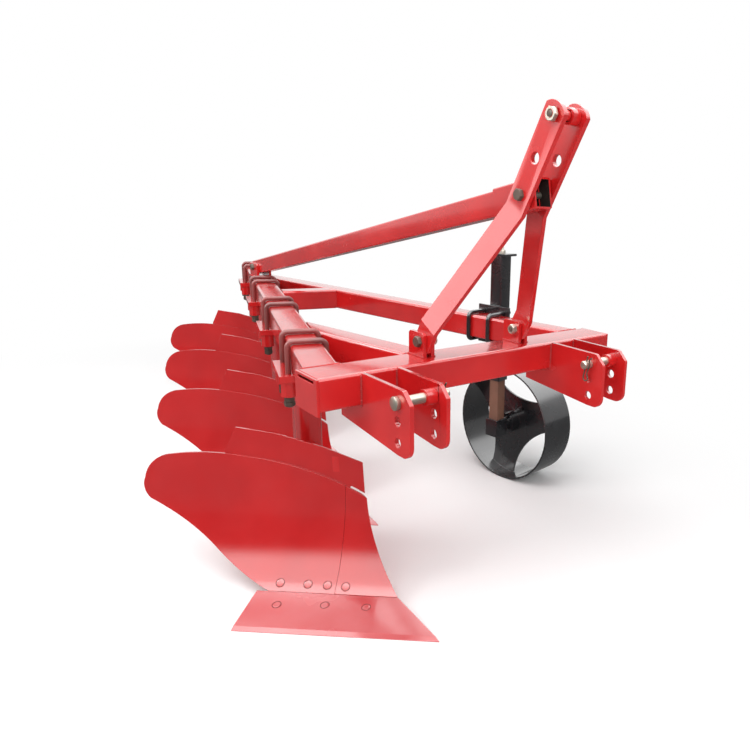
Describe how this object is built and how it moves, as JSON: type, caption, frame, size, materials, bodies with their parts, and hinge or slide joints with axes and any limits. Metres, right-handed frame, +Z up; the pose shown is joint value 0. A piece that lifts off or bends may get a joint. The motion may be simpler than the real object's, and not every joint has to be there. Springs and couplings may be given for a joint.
{
  "type": "mouldboard plough",
  "caption": "Mounted four-bottom mouldboard plough with slanted beam, three-point mast, strut and gauge wheel.",
  "frame": {"origin": "middle of the footprint on the furrow floor that the shares and the gauge wheel stand on", "axes": "+Z up, travel along -Y, +X across to the unploughed side, where the gauge wheel runs"},
  "size_m": [1.2674, 2.5388, 1.2006],
  "materials": {
    "red_paint": "glossy red enamel on welded tube and plate",
    "red_blade_paint": "glossy red enamel on the bottoms, brighter on the shares",
    "dull_bolt_steel": "thin dull red overspray on bent round bar",
    "zinc_steel": "zinc plated pins and bolts",
    "black_paint": "gloss black enamel with grey reflections",
    "rusty_steel": "bare bar with light brown rust; its bracket and axle are black"
  },
  "bodies": {
    "frame": {"cross_beam": "red_paint", "cross_beam_end_plates": "red_paint", "main_beam": "red_paint", "side_beam": "red_paint", "cross_tie": "red_paint", "inner_brace": "red_paint", "hitch_bushes": "red_paint", "mast_bar_right": "red_paint", "mast_bar_left": "red_paint", "mast_lugs": "red_paint", "strut": "red_paint", "strut_lugs": "red_paint", "hitch_plate_1": "red_paint", "shank_1": "red_paint", "frog_1": "red_paint", "mouldboard_1": "red_blade_paint", "shin_1": "red_blade_paint", "share_1": "red_blade_paint", "trashboard_1": "red_blade_paint", "landside_1": "red_blade_paint", "u_bolts_1": "dull_bolt_steel", "hitch_plate_2": "red_paint", "shank_2": "red_paint", "frog_2": "red_paint", "mouldboard_2": "red_blade_paint", "shin_2": "red_blade_paint", "share_2": "red_blade_paint", "trashboard_2": "red_blade_paint", "landside_2": "red_blade_paint", "u_bolts_2": "dull_bolt_steel", "hitch_plate_3": "red_paint", "shank_3": "red_paint", "frog_3": "red_paint", "mouldboard_3": "red_blade_paint", "shin_3": "red_blade_paint", "share_3": "red_blade_paint", "trashboard_3": "red_blade_paint", "landside_3": "red_blade_paint", "u_bolts_3": "dull_bolt_steel", "hitch_plate_4": "red_paint", "shank_4": "red_paint", "frog_4": "red_paint", "mouldboard_4": "red_blade_paint", "shin_4": "red_blade_paint", "share_4": "red_blade_paint", "trashboard_4": "red_blade_paint", "landside_4": "red_blade_paint", "u_bolts_4": "dull_bolt_steel", "hitch_pin_left": "zinc_steel", "hitch_pin_right": "zinc_steel", "mast_pin": "zinc_steel", "mast_foot_bolts": "zinc_steel", "strut_bolts": "zinc_steel", "wheel_clamp_u_bolts": "black_paint", "wheel_clamp_plate": "black_paint", "wheel_leg_tube": "black_paint", "wheel_screw": "zinc_steel"},
    "wheel_leg": {"wheel_leg_bar": "rusty_steel"},
    "gauge_wheel": {"gauge_wheel": "black_paint"}
  },
  "joints": [
    {"name": "wheel_depth", "type": "slide", "parent": "frame", "child": "wheel_leg", "axis": [0, 0, 1], "range_m": [-0.08, 0.125]},
    {"name": "wheel_spin", "type": "hinge", "parent": "wheel_leg", "child": "gauge_wheel", "pos_m": [0.54009, -0.54846, 0.206], "axis": [0.9925, 0.1219, 0], "continuous": true}
  ]
}
